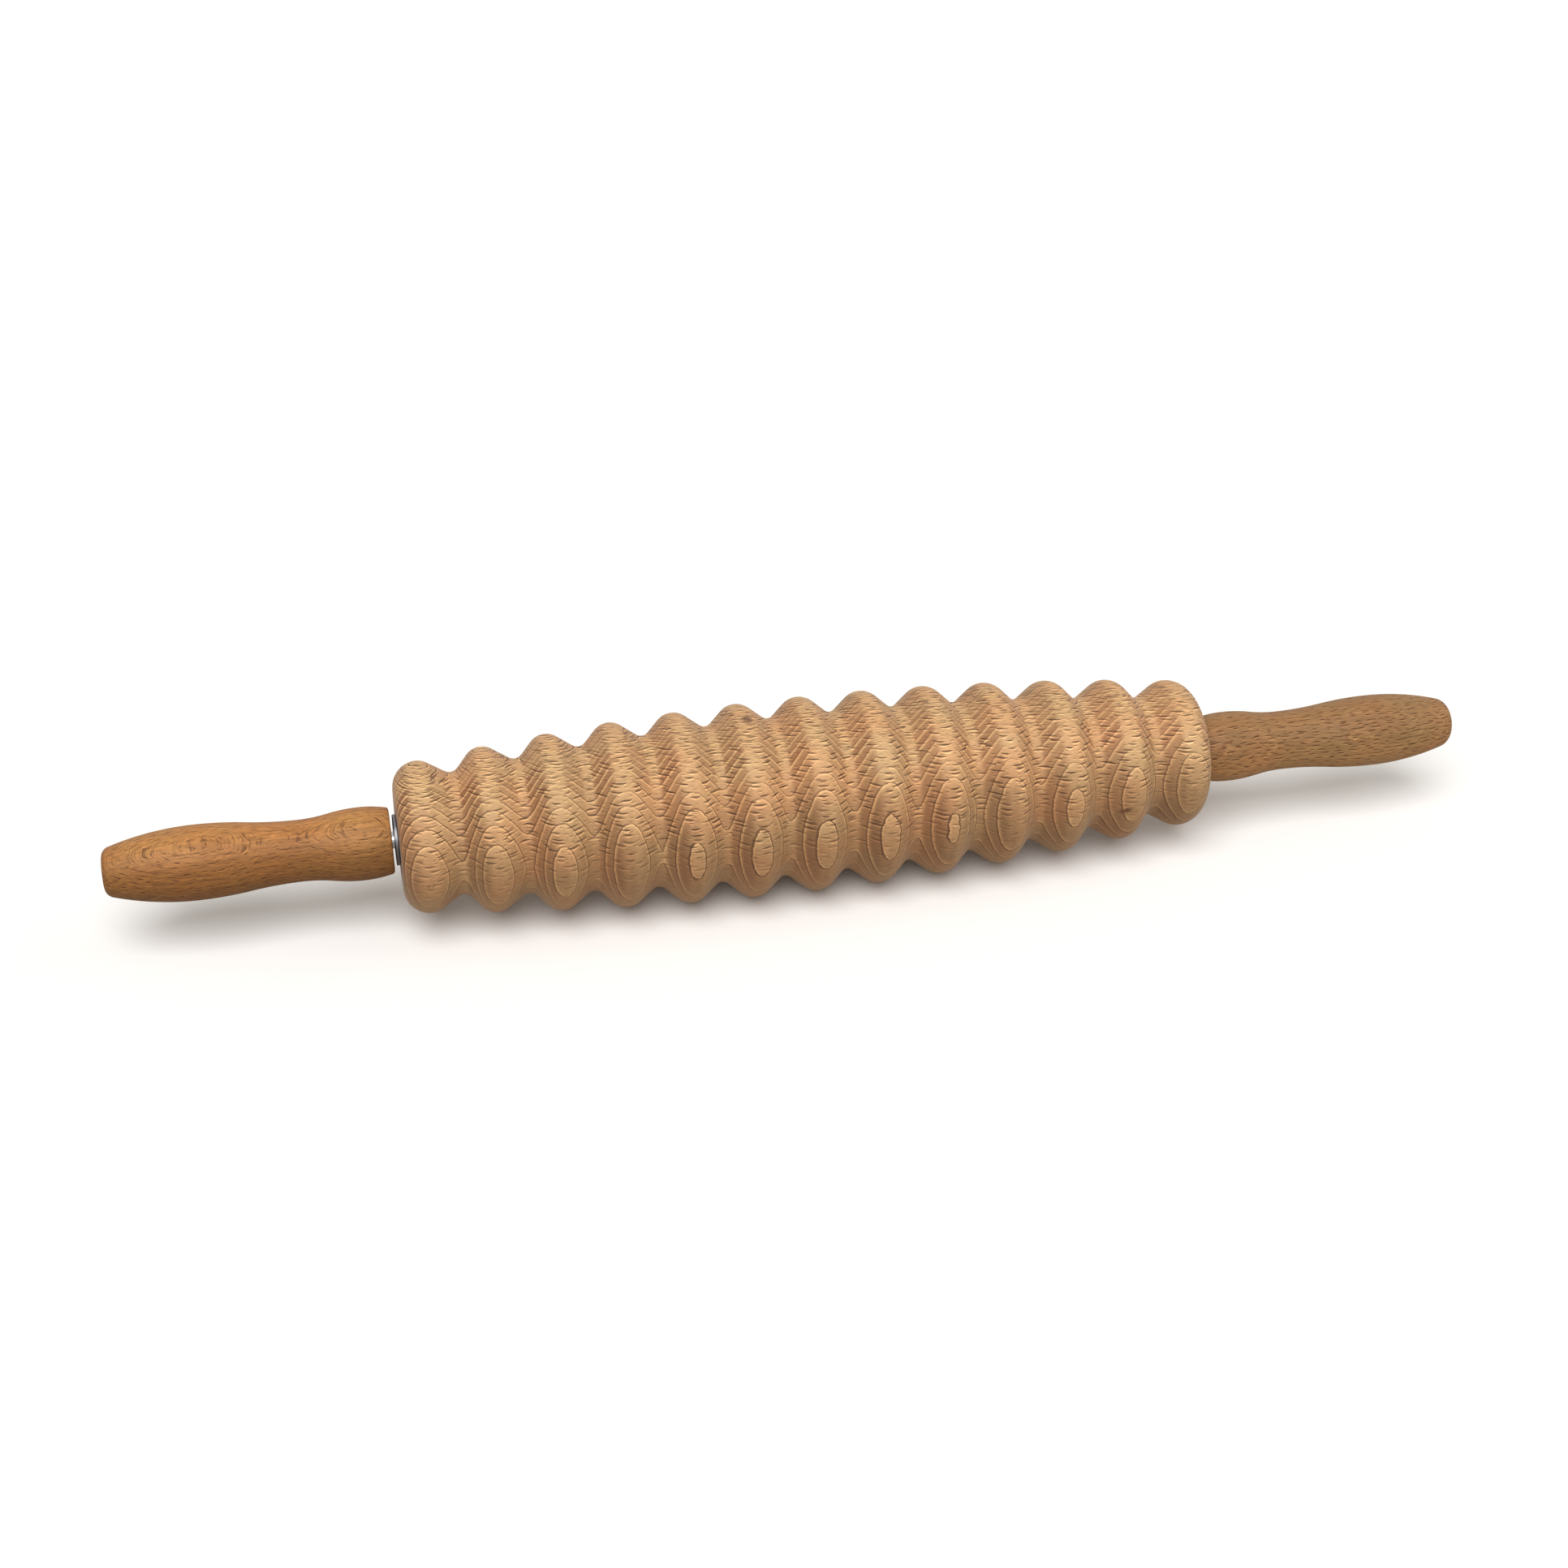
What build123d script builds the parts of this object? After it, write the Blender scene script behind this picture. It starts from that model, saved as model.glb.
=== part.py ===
from build123d import *

import os
from math import acos, atan2, cos, hypot, sin, sqrt

# Wooden roller massager: a ringed barrel roller that spins on a steel rod between two turned handles.
# Units are millimetres. X runs along the rod, +Z is up, and the origin is on the rod's axis, halfway
# between the handles. The left half is at -X, and the right half mirrors it.

os.makedirs("parts", exist_ok=True)

# --- Roller ---------------------------------------------------------------------------------------
RING_COUNT = 13
RING_PITCH = 19.6
BELLY_RADIUS = 30.0          # crest of the middle ring
END_RING_RADIUS = 23.0       # crest of the first and the last ring
GROOVE_DEPTH = 5.6           # from the barrel through the crests to the bottom of a groove
CREST_ROUNDING = 5.8
GROOVE_ROUNDING = 3.2
END_ROUNDING = 7.7           # quarter round from the last crest to the end face
ROLLER_BORE_RADIUS = 4.0     # drilled clear of the rod

# --- Rod, bushes and washers ----------------------------------------------------------------------
ROD_RADIUS = 2.5
ROD_CHAMFER = 0.6
ROD_GRIP_DEPTH = 42.0        # length of rod inside each handle
BUSH_WALL = 3.0
BUSH_LENGTH = 15.0
BUSH_CHAMFER = 0.5
WASHER_RADIUS = 7.7
WASHER_THICKNESS = 1.0
WASHER_EDGE_BREAK = 0.15

# --- Handle, measured from its inner end ----------------------------------------------------------
HANDLE_LENGTH = 84.2
NECK_RADIUS = 9.9            # at the inner end
COLLAR_RADIUS = 11.0
COLLAR_PLACE = 8.8
WAIST_RADIUS = 9.25
WAIST_PLACE = 27.0
PALM_RADIUS = 11.25
PALM_PLACE = 57.3
TIP_RADIUS = 6.8             # at the outer end
INNER_EDGE_ROUNDING = 0.8
OUTER_EDGE_ROUNDING = 3.2

# --- Threaded insert in the handle ----------------------------------------------------------------
INSERT_WALL = 1.5
INSERT_LENGTH = 14.0
INSERT_SETBACK = 0.5         # below the handle's inner face

# --- Clearances -----------------------------------------------------------------------------------
BUSH_RUNNING_CLEARANCE = 0.05    # radial, bush on rod
WASHER_RUNNING_CLEARANCE = 0.08  # radial, washer on rod
WASHER_FACE_CLEARANCE = 0.15     # axial, washer to roller
HANDLE_FACE_CLEARANCE = 0.85     # axial, washer to handle: the rod shows here
ROD_HOLE_CLEARANCE = 0.1         # radial, past the insert in the handle
ROD_HOLE_RUNOUT = 2.0            # drilled past the rod's end

# --- Places that follow from the sizes ------------------------------------------------------------
last_crest_x = RING_PITCH * (RING_COUNT - 1) / 2
roller_end_x = last_crest_x + END_ROUNDING
washer_inner_x = roller_end_x + WASHER_FACE_CLEARANCE
washer_outer_x = washer_inner_x + WASHER_THICKNESS
handle_inner_x = washer_outer_x + HANDLE_FACE_CLEARANCE
handle_outer_x = handle_inner_x + HANDLE_LENGTH
rod_end_x = handle_inner_x + ROD_GRIP_DEPTH
bush_radius = ROD_RADIUS + BUSH_RUNNING_CLEARANCE + BUSH_WALL
insert_radius = ROD_RADIUS + INSERT_WALL
insert_x = handle_inner_x + INSERT_SETBACK

# The crests lie on one long arc, which falls from the belly to the end rings.
barrel_drop = BELLY_RADIUS - END_RING_RADIUS
barrel_arc_radius = (last_crest_x**2 + barrel_drop**2) / (2 * barrel_drop)

# A crest and a groove rounding whose radii add up to this would touch with no flank between them, so
# together they take at most nine tenths of it.
rounding_room = ((RING_PITCH / 2) ** 2 + GROOVE_DEPTH**2) / (2 * GROOVE_DEPTH)
rounding_share = min(1.0, 0.9 * rounding_room / (CREST_ROUNDING + GROOVE_ROUNDING))
crest_rounding = CREST_ROUNDING * rounding_share
groove_rounding = GROOVE_ROUNDING * rounding_share


def barrel_radius(x):
    """Radius of the barrel that touches every crest, at the place x along the axis."""
    return BELLY_RADIUS - barrel_arc_radius + sqrt(barrel_arc_radius**2 - x**2)


def flank(crest_x, groove_x):
    """The straight flank from a crest to a groove beside it.

    Returns its two ends: the point where it leaves the crest's circle, and the point where it meets the
    groove's circle. The circles lie on opposite sides of the flank, so it is their inner tangent.
    """
    crest_centre_y = barrel_radius(crest_x) - crest_rounding
    groove_centre_y = barrel_radius(groove_x) - GROOVE_DEPTH + groove_rounding
    across, rise = abs(groove_x - crest_x), groove_centre_y - crest_centre_y
    normal_angle = atan2(rise, across) + acos((crest_rounding + groove_rounding) / hypot(across, rise))
    side = 1 if groove_x > crest_x else -1
    normal_x, normal_y = side * cos(normal_angle), sin(normal_angle)
    leaves = (crest_x + crest_rounding * normal_x, crest_centre_y + crest_rounding * normal_y)
    meets = (groove_x - groove_rounding * normal_x, groove_centre_y - groove_rounding * normal_y)
    return leaves, meets


def ring_outline():
    """The wavy line over all rings, from the first crest to the last one."""
    crests = [index * RING_PITCH - last_crest_x for index in range(RING_COUNT)]
    grooves = [(left + right) / 2 for left, right in zip(crests, crests[1:])]
    edges = []
    arrives = (crests[0], barrel_radius(crests[0]))
    for left, groove, right in zip(crests, grooves, crests[1:]):
        leaves, groove_start = flank(left, groove)
        next_arrives, groove_end = flank(right, groove)
        bottom = (groove, barrel_radius(groove) - GROOVE_DEPTH)
        if left == crests[0]:
            edges.append(TangentArc(arrives, leaves, tangent=(1, 0)))
        else:
            edges.append(ThreePointArc(arrives, (left, barrel_radius(left)), leaves))
        edges.append(Line(leaves, groove_start))
        edges.append(ThreePointArc(groove_start, bottom, groove_end))
        edges.append(Line(groove_end, next_arrives))
        arrives = next_arrives
    top = (crests[-1], barrel_radius(crests[-1]))
    edges.append(TangentArc(top, arrives, tangent=(-1, 0)))
    return edges


def turned(edges):
    """The solid of revolution about the rod's axis from the closed outline given."""
    return revolve(make_face(Wire(edges)), Axis.X)


def along_x(radius, start_x, end_x):
    """A cylinder on the rod's axis from start_x to end_x."""
    return Pos((start_x + end_x) / 2) * Rot(0, 90, 0) * Cylinder(radius, abs(end_x - start_x))


def end_edges(part, place):
    """The circular edges at one end of a part along X: place is 0 for the low end and -1 for the high."""
    return part.edges().filter_by(GeomType.CIRCLE).group_by(Axis.X)[place]


def make_roller():
    """The barrel with its rings, rounded ends, through bore and a seat for a bush at each end."""
    end_y = END_RING_RADIUS - END_ROUNDING
    left_foot, left_edge = (-roller_end_x, 0), (-roller_end_x, end_y)
    left_top, right_top = (-last_crest_x, END_RING_RADIUS), (last_crest_x, END_RING_RADIUS)
    right_edge, right_foot = (roller_end_x, end_y), (roller_end_x, 0)
    outline = [
        Line(left_foot, left_edge),
        TangentArc(left_top, left_edge, tangent=(-1, 0)),
        *ring_outline(),
        TangentArc(right_top, right_edge, tangent=(1, 0)),
        Line(right_edge, right_foot),
        Line(right_foot, left_foot),
    ]
    roller = turned(outline) - along_x(ROLLER_BORE_RADIUS, -roller_end_x, roller_end_x)
    for side in (-1, 1):
        roller -= along_x(bush_radius, side * (roller_end_x - BUSH_LENGTH), side * roller_end_x)
    return roller


def make_bush():
    """The right bush: a plain sleeve, flush with the roller's end."""
    start_x, end_x = roller_end_x - BUSH_LENGTH, roller_end_x
    sleeve = along_x(bush_radius, start_x, end_x)
    sleeve = chamfer(end_edges(sleeve, 0), BUSH_CHAMFER)
    return sleeve - along_x(ROD_RADIUS + BUSH_RUNNING_CLEARANCE, start_x, end_x)


def make_rod():
    """The steel rod that both handles hold."""
    rod = along_x(ROD_RADIUS, -rod_end_x, rod_end_x)
    return chamfer(end_edges(rod, 0) + end_edges(rod, -1), ROD_CHAMFER)


def make_washer():
    """The right washer, loose on the rod."""
    disc = along_x(WASHER_RADIUS, washer_inner_x, washer_outer_x)
    disc = chamfer(disc.edges().filter_by(GeomType.CIRCLE), WASHER_EDGE_BREAK)
    return disc - along_x(ROD_RADIUS + WASHER_RUNNING_CLEARANCE, washer_inner_x, washer_outer_x)


def ogee(start, end):
    """Two equal arcs that leave start and reach end parallel to the axis."""
    middle = ((start[0] + end[0]) / 2, (start[1] + end[1]) / 2)
    return [TangentArc(start, middle, tangent=(1, 0)), TangentArc(end, middle, tangent=(-1, 0))]


def make_handle():
    """The right handle: collar, waist and palm swell, with the seat of its insert and the rod's hole."""
    foot, neck = (handle_inner_x, 0), (handle_inner_x, NECK_RADIUS)
    collar = (handle_inner_x + COLLAR_PLACE, COLLAR_RADIUS)
    waist = (handle_inner_x + WAIST_PLACE, WAIST_RADIUS)
    palm = (handle_inner_x + PALM_PLACE, PALM_RADIUS)
    tip, tip_foot = (handle_outer_x, TIP_RADIUS), (handle_outer_x, 0)
    outline = [
        Line(foot, neck),
        TangentArc(collar, neck, tangent=(-1, 0)),
        *ogee(collar, waist),
        *ogee(waist, palm),
        TangentArc(palm, tip, tangent=(1, 0)),
        Line(tip, tip_foot),
        Line(tip_foot, foot),
    ]
    handle = turned(outline)
    handle = fillet(end_edges(handle, 0), INNER_EDGE_ROUNDING)
    handle = fillet(end_edges(handle, -1), OUTER_EDGE_ROUNDING)
    handle -= along_x(insert_radius, handle_inner_x, insert_x + INSERT_LENGTH)
    handle -= along_x(ROD_RADIUS + ROD_HOLE_CLEARANCE, handle_inner_x, rod_end_x + ROD_HOLE_RUNOUT)
    return handle


def make_insert():
    """The right threaded insert: the rod's end is screwed into it."""
    sleeve = along_x(insert_radius, insert_x, insert_x + INSERT_LENGTH)
    return sleeve - along_x(ROD_RADIUS, insert_x, insert_x + INSERT_LENGTH)


def save(name, part):
    """Write one piece to its own file."""
    export_step(part, f"parts/{name}.step")


save("roller", make_roller())
save("axle_rod", make_rod())

PAIRS = {
    "roller_bush": make_bush,
    "washer": make_washer,
    "handle": make_handle,
    "handle_insert": make_insert,
}
for name, make_right in PAIRS.items():
    right = make_right()
    save(f"{name}_right", right)
    save(f"{name}_left", mirror(right, Plane.YZ))
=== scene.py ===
"""Wooden roller massager: the looks of its turned beech, steel and plastic pieces, laid out as an add-on."""

from math import cos, pi, radians, sin, sqrt

import bpy
import numpy as np
from bpy.props import FloatProperty, FloatVectorProperty, IntProperty, PointerProperty
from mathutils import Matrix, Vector


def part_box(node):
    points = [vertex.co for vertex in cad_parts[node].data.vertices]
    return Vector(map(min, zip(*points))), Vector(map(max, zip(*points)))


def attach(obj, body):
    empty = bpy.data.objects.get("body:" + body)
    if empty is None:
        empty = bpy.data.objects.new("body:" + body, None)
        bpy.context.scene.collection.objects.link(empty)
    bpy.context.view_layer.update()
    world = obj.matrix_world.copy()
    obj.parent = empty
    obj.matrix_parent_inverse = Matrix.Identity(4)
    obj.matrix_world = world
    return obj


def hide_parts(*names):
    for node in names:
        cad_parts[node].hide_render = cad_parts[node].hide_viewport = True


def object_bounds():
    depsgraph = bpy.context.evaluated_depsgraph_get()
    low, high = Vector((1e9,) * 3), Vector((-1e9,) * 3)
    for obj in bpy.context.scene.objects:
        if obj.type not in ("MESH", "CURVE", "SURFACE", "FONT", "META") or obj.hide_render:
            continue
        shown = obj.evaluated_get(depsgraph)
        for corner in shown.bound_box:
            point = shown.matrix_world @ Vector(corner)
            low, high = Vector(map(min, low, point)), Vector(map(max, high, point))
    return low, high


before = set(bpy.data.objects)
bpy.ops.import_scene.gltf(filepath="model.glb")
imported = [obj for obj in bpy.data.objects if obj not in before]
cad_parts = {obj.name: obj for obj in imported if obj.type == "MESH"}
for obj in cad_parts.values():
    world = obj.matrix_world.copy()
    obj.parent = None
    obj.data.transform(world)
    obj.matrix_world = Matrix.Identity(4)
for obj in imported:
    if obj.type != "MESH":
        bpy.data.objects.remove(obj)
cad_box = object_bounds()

bl_info = {
    "name": "Wooden Roller Massager",
    "version": (1, 0, 0),
    "blender": (4, 5, 0),
    "location": "View3D > Sidebar > Massager",
    "description": "Builds the roller, handles, rod and washers of a ringed wooden roller massager",
    "category": "Add Mesh",
}

MM = 0.001
ROLLER_LOW, ROLLER_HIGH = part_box("roller")
HANDLE_LOW, HANDLE_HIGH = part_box("handle_right")
BUSH_LOW, BUSH_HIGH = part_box("roller_bush_right")
INSERT_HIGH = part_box("handle_insert_right")[1]
ROD_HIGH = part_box("axle_rod")[1]

ROLLER_SEGMENTS = 252  # steps round the axis
HANDLE_SEGMENTS = 160
RING_STEP = 0.72 * MM  # steps along the axis
HANDLE_STEP = 0.55 * MM
FLOOR_REACH = 6.0  # metres from the middle to the floor's edge
AIM_OFFSET = Vector((-6.5, 2.9, 2.5)) * MM  # from the massager's middle to the point the camera looks at
SENSOR_WIDTH = 36.0  # millimetres, as the lens is
LEAST_SINE = 0.02  # keeps lines and strokes from fading out where the surface lies along them
SHARP_ANGLE = radians(35)  # edges sharper than this aren't smoothed over
ROD_CLEARANCE = 2.0 * MM  # from the rod's end to the bottom of its hole
PINHOLE = 0.05 * MM  # radius left open along a handle's axis, so that its outline is one closed loop


# --- How the blanks grew ---

# Lengths are in millimetres and strengths are shares of one. At the front the layers lie along the
# turned circles, and a flank is the left or the right side of a ring.
#
# turn: how far the blank is turned about the rod
# pith: distance of the pith line from the rod's axis; pith_height, its height at the middle
# lean: how much that line rises for each millimetre along the rod
# boundary: where one year ends, out from the axis; spacing, a year's thickness
# outer_year: from where, to where and by how much the outermost year is thicker
# wander: long waves in the layers; ripple, short ones; slope, their even fall along the rod
# drift: their wavering along the rod, as a curve about 0.5 over drift_length
# flanks: how much late wood shows on the left and the right flanks; crests and front, on those
# lines: the same for the thin lines between years; outline, those lines on the front
# lips: painted highlights on the edges beside the rays' strokes
# rays: sets of strokes, each with its strength, rows' pitch, cells' length, thickness, and the shortest
#     and longest share of a cell; a negative strength shows only where the surface slants to the rays
# ray_pith: distance of the rays' centre; row_radius, where their rows are a pitch apart
# fade: the height where rays start, where they are full, and what is left below
# broken: how much of them is left where the surface lies along their planes
# loops: the nested loops there; loop_rate, their fineness along the rod and across it
# streaks: long streaks of light and dark
# tone: tint of the inner wood: on the roller painted shade lower down, towards the front and in the
#     grooves, and on a handle its own colour all over; darker, from where to where it sets in; valley, how
#     much sooner the painted shade sets in in a groove
# left_side_shade: tint of the front's left-facing side, painted shade as if the light came from the right
# underside: from which height to which a tint sets in downwards, and the tint; it is painted shade under the
# left handle and painted light under the right one
# marks: small knots, each with its place, reach, lean in degrees and strength
# roughness: of the finished surface
ROLLER_GRAIN = {
    "turn": 0.0, "pith": 80.0, "pith_height": 1.9, "lean": -0.047,
    "boundary": 25.94, "spacing": 2.41, "outer_year": (26.3, 28.9, 0.6),
    "wander": 0.40, "ripple": 0.34, "drift_length": 2 * ROLLER_HIGH.x / MM,
    "drift": [
        (0.0, 0.3), (0.11, 0.4), (0.19, 0.45), (0.27, 0.2), (0.35, 0.35), (0.5, 0.6),
        (0.66, 0.45), (0.75, 0.5), (0.82, 0.8), (0.89, 0.8), (0.96, 0.45), (1.0, 0.25),
    ],
    "flanks": (1.0, 0.75), "crests": 0.10, "front": 0.48,
    "lines": (0.6, 1.0), "outline": 1.1, "lip_highlights": 1.0,
    "rays": [
        (1.0, 1.8, 6.8, 0.42, 0.40, 0.80),
        (0.65, 1.4, 3.8, 0.25, 0.30, 0.60),
        (-1.0, 1.3, 6.0, 0.50, 0.45, 0.80),
        (-1.0, 1.0, 4.6, 0.40, 0.35, 0.70),
    ],
    "ray_pith": 45.0, "row_radius": 75.0,
    "fade": (-11.0, 9.0, 0.25), "broken": 0.7,
    "loops": 0.25, "loop_rate": (0.20, 6.5), "streaks": 0.15,
    "tone": (0.77, 0.73, 0.71), "darker": (-2.0, 22.0), "groove_shade": 14.0,
    "left_side_shade": (0.76, 0.72, 0.70),
    "marks": [
        ((-18.7, -1.5, 29.5), (2.2, 2.6, 3.0), 0.0, 0.9),
        ((95.2, -25.0, -4.0), (3.0, 5.0, 1.1), -35.0, 1.0),
    ],
    "roughness": 0.62,
}
HANDLE_GRAIN = {
    "pith": 60.0, "pith_height": 0.0, "lean": 0.0,
    "boundary": 3.0, "spacing": 2.3,
    "wander": 0.5, "ripple": 0.3,
    "flanks": (0.2, 0.2), "crests": 0.12, "front": 0.16,
    "lines": (0.2, 0.2), "outline": 0.16, "lip_highlights": 0.45,
    "rays": [
        (1.0, 1.4, 4.9, 0.22, 0.35, 0.75),
        (1.0, 1.8, 4.1, 0.22, 0.30, 0.70),
        (0.7, 0.9, 2.7, 0.17, 0.30, 0.60),
    ],
    "ray_pith": 60.0, "row_radius": 71.0,
    "fade": (-12.0, -4.0, 0.7), "broken": 0.2, "streaks": 0.8, "darker": (-60.0, -50.0),
    "roughness": 0.54,
}
LEFT_GRAIN = {
    **HANDLE_GRAIN,
    "turn": radians(-42.0), "tone": (1.0, 1.0, 1.0),
    "loops": 0.75, "loop_rate": (0.45, 8.0), "streaks": 1.1,
    "underside_light_and_shade": (2.0, 11.0, (0.58, 0.555, 0.50)),
}
RIGHT_GRAIN = {
    **HANDLE_GRAIN,
    "turn": radians(25.0), "tone": (0.64, 0.755, 0.97),
    "boundary": 1.04, "slope": 0.056, "crests": 0.05, "front": 0.35,
    "lines": (0.45, 0.45), "outline": 0.65, "lip_highlights": 0.5,
    "rays": [
        (1.0, 1.4, 4.9, 0.28, 0.35, 0.82),
        (1.0, 1.9, 4.1, 0.27, 0.30, 0.75),
    ],
    "fade": (-60.0, -50.0, 1.0),
    "loops": 0.15, "loop_rate": (0.20, 6.5),
    "underside_light_and_shade": (-6.0, 6.0, (1.42, 1.35, 1.30)),
}

# --- Settings ---


def length(name, default, description):
    """A length property in metres."""
    return FloatProperty(
        name=name, description=description, default=default, min=0.0, precision=5, unit="LENGTH"
    )


def colour(name, default, description):
    """A linear colour property."""
    return FloatVectorProperty(
        name=name, description=description, default=default, min=0.0, max=1.0, size=3, subtype="COLOR"
    )


def angle(name, default, description):
    """An angle property, given in degrees."""
    return FloatProperty(name=name, description=description, default=radians(default), subtype="ANGLE")


def strength(name, default, description):
    """A light's strength, where 1 from straight above would show a white floor as white."""
    return FloatProperty(name=name, description=description, default=default, min=0.0)


class RollerSizes(bpy.types.PropertyGroup):
    """The ringed barrel."""

    ring_count: IntProperty(name="Rings", description="Number of rings", default=13, min=3)
    ring_pitch: length("Ring pitch", 19.6 * MM, "From one crest to the next")
    belly_radius: length("Belly radius", ROLLER_HIGH.z, "Crest of the middle ring")
    end_ring_radius: length("End ring radius", 23.0 * MM, "Crest of the first and the last ring")
    groove_depth: length("Groove depth", 5.6 * MM, "From the crests' arc to a groove's bottom")
    crest_rounding: length("Crest rounding", 5.8 * MM, "Radius of a crest's arc")
    groove_rounding: length("Groove rounding", 3.2 * MM, "Radius of a groove's arc")
    bore_radius: length("Bore radius", 4.0 * MM, "Bore through the roller, clear of the rod")
    seat_radius: length("Bush seat radius", BUSH_HIGH.z, "Seat of the bush in each end")
    seat_depth: length("Bush seat depth", BUSH_HIGH.x - BUSH_LOW.x, "Depth of the bush's seat")
    edge_break: length("Edge break", 0.25 * MM, "Rounding of the edges round the bore")


class HandleSizes(bpy.types.PropertyGroup):
    """A turned handle, measured from its inner end."""

    neck_radius: length("Neck radius", 9.9 * MM, "Radius at the inner end")
    collar_radius: length("Collar radius", 11.0 * MM, "Swell beside the neck")
    collar_place: length("Collar place", 8.8 * MM, "Place of the collar's swell")
    waist_radius: length("Waist radius", 9.25 * MM, "Narrowest place")
    waist_place: length("Waist place", 27.0 * MM, "Place of the waist")
    palm_radius: length("Palm radius", HANDLE_HIGH.z, "Swell that fills the palm")
    palm_place: length("Palm place", 57.3 * MM, "Place of the palm's swell")
    tip_radius: length("Tip radius", 6.8 * MM, "Radius at the outer end before its edge is rounded")
    inner_rounding: length("Inner rounding", 0.8 * MM, "Rounding of the inner edge")
    left_rounding: length("Left rounding", 3.0 * MM, "Rounding of the left handle's outer edge")
    right_rounding: length("Right rounding", 4.4 * MM, "Rounding of the right handle's outer edge")
    seat_radius: length("Insert seat radius", INSERT_HIGH.z, "Seat of the threaded insert")
    seat_depth: length("Insert seat depth", INSERT_HIGH.x - HANDLE_LOW.x, "Depth of the insert's seat")
    hole_radius: length("Rod hole radius", 2.6 * MM, "Hole past the insert")
    hole_depth: length("Rod hole depth", ROD_HIGH.x + ROD_CLEARANCE - HANDLE_LOW.x, "Depth of its hole")
    edge_break: length("Edge break", 0.2 * MM, "Rounding of the hole's edges")


class RawBeechLook(bpy.types.PropertyGroup):
    """The colours of the roller's bare beech."""

    early: colour("Early wood", (0.600, 0.364, 0.176), "Light wood at the start of a year's layer")
    late: colour("Late wood", (0.265, 0.118, 0.052), "Reddish wood at the end of a year's layer")
    line: colour("Layer line", (0.115, 0.052, 0.023), "Thin line where one year ends")
    ray: colour("Ray", (0.080, 0.037, 0.016), "Short dark dashes of the wood's rays")


class OiledBeechLook(bpy.types.PropertyGroup):
    """The colours of the handles' oiled beech."""

    early: colour("Early wood", (0.455, 0.212, 0.068), "Light wood at the start of a year's layer")
    late: colour("Late wood", (0.28, 0.120, 0.038), "Reddish wood at the end of a year's layer")
    line: colour("Layer line", (0.18, 0.072, 0.024), "Thin line where one year ends")
    ray: colour("Ray", (0.095, 0.036, 0.012), "Short dark dashes of the wood's rays")


class FittingLook(bpy.types.PropertyGroup):
    """The colours of the rod and of what runs on it or holds it."""

    rod: colour("Rod", (0.70, 0.70, 0.71), "Drawn steel of the rod")
    washer: colour("Washers", (0.25, 0.25, 0.26), "Dull steel of the washers")
    bush: colour("Bushes", (0.80, 0.79, 0.75), "Plastic of the bushes in the roller")
    insert: colour("Inserts", (0.78, 0.57, 0.25), "Brass of the inserts in the handles")


class StageLook(bpy.types.PropertyGroup):
    """Floor, light and camera."""

    floor: colour("Floor", (1.0, 1.0, 1.0), "Colour of the pale floor as seen")
    bounce: colour("Floor's bounce", (0.45, 0.435, 0.41), "Colour that the floor throws back on the massager")
    sky: strength("Sky", 0.35, "Even light from all round")
    sky_colour: colour("Sky's colour", (1.0, 0.94, 0.84), "Colour of the even light")
    lamp: strength("Lamp", 0.82, "Lamp over the front")
    fill: strength("Fill", 0.16, "Lamp from the right")
    lamp_colour: colour("Lamps' colour", (1.0, 0.99, 0.985), "Colour of both lamps")
    lamp_spread: angle("Lamp spread", 48.0, "Angle that each soft lamp fills, which softens the shadow")
    azimuth: angle("Camera azimuth", 11.984, "Turn of the view to the right of straight ahead")
    elevation: angle("Camera elevation", 31.881, "Height of the camera above the level")
    distance: length("Camera distance", 775.9 * MM, "From the camera to the point it looks at")
    lens: FloatProperty(name="Lens", description="Focal length in millimetres", default=57.76)


class MassagerSettings(bpy.types.PropertyGroup):
    """All sizes and looks of the massager."""

    roller: PointerProperty(type=RollerSizes, name="Roller", description="Sizes of the ringed barrel")
    handle: PointerProperty(type=HandleSizes, name="Handle", description="Sizes of the handles")
    raw_beech: PointerProperty(type=RawBeechLook, name="Raw beech", description="Colours of the roller")
    oiled_beech: PointerProperty(
        type=OiledBeechLook, name="Oiled beech", description="Colours of the handles"
    )
    fittings: PointerProperty(type=FittingLook, name="Fittings", description="Colours of metal and plastic")
    stage: PointerProperty(type=StageLook, name="Stage", description="Floor, light and camera")


# --- Outlines ---


def arc(centre, radius, start, end, step=0.35 * MM):
    """Points on a circle about centre, from the angle start to the angle end, about one step apart."""
    count = max(3, int(abs(end - start) * radius / step) + 2)
    turn = np.linspace(start, end, count)
    return np.column_stack([centre[0] + radius * np.cos(turn), centre[1] + radius * np.sin(turn)])


def turned(outline, segments, name):
    """A mesh turned about the X axis from a closed outline of (place, radius) rows.

    Vertex (i, j) is (x_i, r_i cos a_j, r_i sin a_j), with a_j in even steps round the axis. Both
    directions of the grid close on themselves, so the shell has no seam. The outline is put clockwise,
    by the sign of the area it encloses, so that the faces point outwards.
    """
    gaps = np.linalg.norm(outline - np.roll(outline, 1, axis=0), axis=1)
    outline = outline[gaps > 1e-7]
    place, radius = outline.T
    area = np.sum(place * np.roll(radius, -1) - np.roll(place, -1) * radius)
    if area > 0:
        place, radius = place[::-1], radius[::-1]
    turn = np.arange(segments) * 2 * pi / segments
    along = np.repeat(place[:, None], segments, axis=1)
    grid = np.stack([along, radius[:, None] * np.cos(turn), radius[:, None] * np.sin(turn)], axis=-1)
    return grid_mesh(name, grid, closed=(True, True))


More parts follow.
